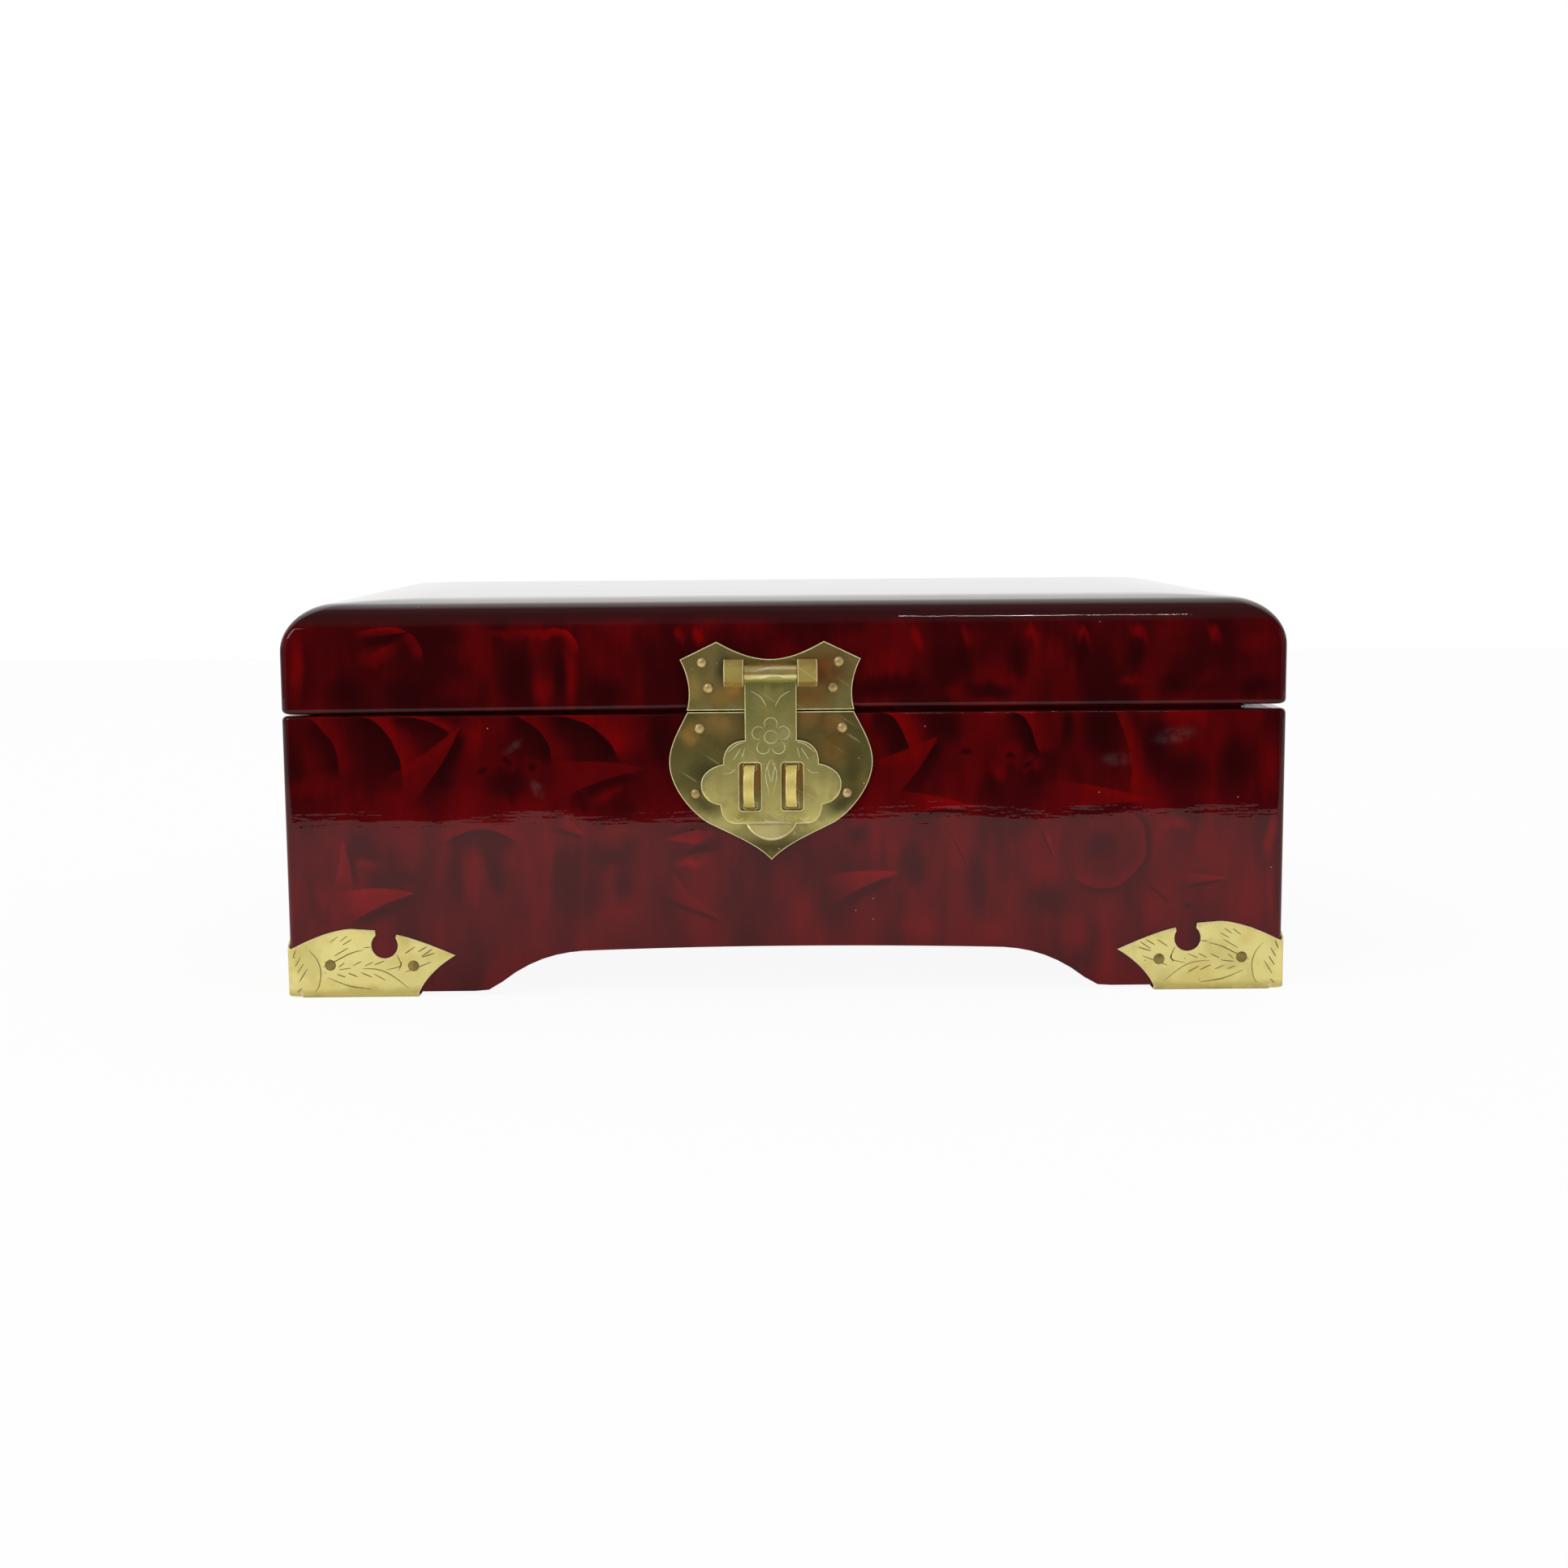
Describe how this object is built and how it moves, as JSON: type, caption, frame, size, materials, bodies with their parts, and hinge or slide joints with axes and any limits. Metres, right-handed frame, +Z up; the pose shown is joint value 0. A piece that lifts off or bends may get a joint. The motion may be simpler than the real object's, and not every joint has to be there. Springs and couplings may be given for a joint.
{
  "type": "jewelry box",
  "caption": "Lacquered wooden jewelry box with hinged lid, brass hasp clasp over staples, folded brass foot mounts, lift-out tray and lid mirror.",
  "frame": {"origin": "on the floor, under the middle of the box", "axes": "+X to the right seen from the front, +Y towards the rear hinges, +Z up"},
  "size_m": [0.253, 0.1904, 0.099],
  "materials": {
    "lacquer": "gloss lacquer, smoky red",
    "bare_wood": "plain sawn",
    "corner_brass": "worn polish",
    "lock_brass": "tarnished, engraved",
    "bright_brass": "rubbed",
    "nail_brass": "dull",
    "lining": "woven cloth",
    "tray_cloth": "woven cloth",
    "ring_velvet": "velvet",
    "frame_wood": "dark lacquer",
    "backing_card": "plain",
    "mirror": "silvered"
  },
  "bodies": {
    "base": {"base_front_wall": "lacquer", "base_right_wall": "lacquer", "base_back_wall": "lacquer", "base_left_wall": "lacquer", "bottom_board": "bare_wood", "corner_mount_front_left": "corner_brass", "corner_mount_front_right": "corner_brass", "corner_mount_back_right": "corner_brass", "corner_mount_back_left": "corner_brass", "lower_lock_plate": "lock_brass", "lower_plate_nail_1": "nail_brass", "lower_plate_nail_2": "nail_brass", "lower_plate_nail_3": "nail_brass", "lower_plate_nail_4": "nail_brass", "lock_staple_left": "bright_brass", "lock_staple_right": "bright_brass", "rear_hinge_left_base_leaf": "bright_brass", "rear_hinge_right_base_leaf": "bright_brass", "rear_hinge_left_pin": "bright_brass", "rear_hinge_right_pin": "bright_brass", "front_lining_board": "lining", "right_lining_board": "lining", "back_lining_board": "lining", "left_lining_board": "lining", "floor_pad": "lining", "tray_ledge_left": "lining", "tray_ledge_right": "lining"},
    "tray": {"tray_front_wall": "tray_cloth", "tray_back_wall": "tray_cloth", "tray_left_wall": "tray_cloth", "tray_right_wall": "tray_cloth", "tray_floor": "tray_cloth", "tray_long_divider": "tray_cloth", "tray_short_divider_1": "tray_cloth", "tray_short_divider_2": "tray_cloth", "tray_short_divider_3": "tray_cloth", "ring_rolls": "ring_velvet"},
    "lid": {"lid_front_rail": "lacquer", "lid_right_rail": "lacquer", "lid_back_rail": "lacquer", "lid_left_rail": "lacquer", "lid_top_board": "lacquer", "mirror_frame_front": "frame_wood", "mirror_frame_right": "frame_wood", "mirror_frame_back": "frame_wood", "mirror_frame_left": "frame_wood", "mirror_backing": "backing_card", "mirror_glass": "mirror", "upper_lock_plate": "lock_brass", "upper_plate_nail_1": "nail_brass", "upper_plate_nail_2": "nail_brass", "upper_plate_nail_3": "nail_brass", "upper_plate_nail_4": "nail_brass", "hasp_lug_left": "bright_brass", "hasp_lug_right": "bright_brass", "hasp_pin": "bright_brass", "rear_hinge_left_lid_leaf": "bright_brass", "rear_hinge_right_lid_leaf": "bright_brass"},
    "hasp": {"hasp": "lock_brass"}
  },
  "joints": [
    {"name": "lid_hinge", "type": "hinge", "parent": "base", "child": "lid", "pos_m": [0, 0.0923, 0.07155], "axis": [-1, 0, 0], "range_deg": [0, 105]},
    {"name": "hasp_hinge", "type": "hinge", "parent": "lid", "child": "hasp", "pos_m": [-0.0036, -0.0935, 0.08095], "axis": [-1, 0, 0], "range_deg": [0, 170]},
    {"name": "tray_lift", "type": "slide", "parent": "base", "child": "tray", "axis": [0, 0, 1], "range_m": [0, 0.008]}
  ]
}
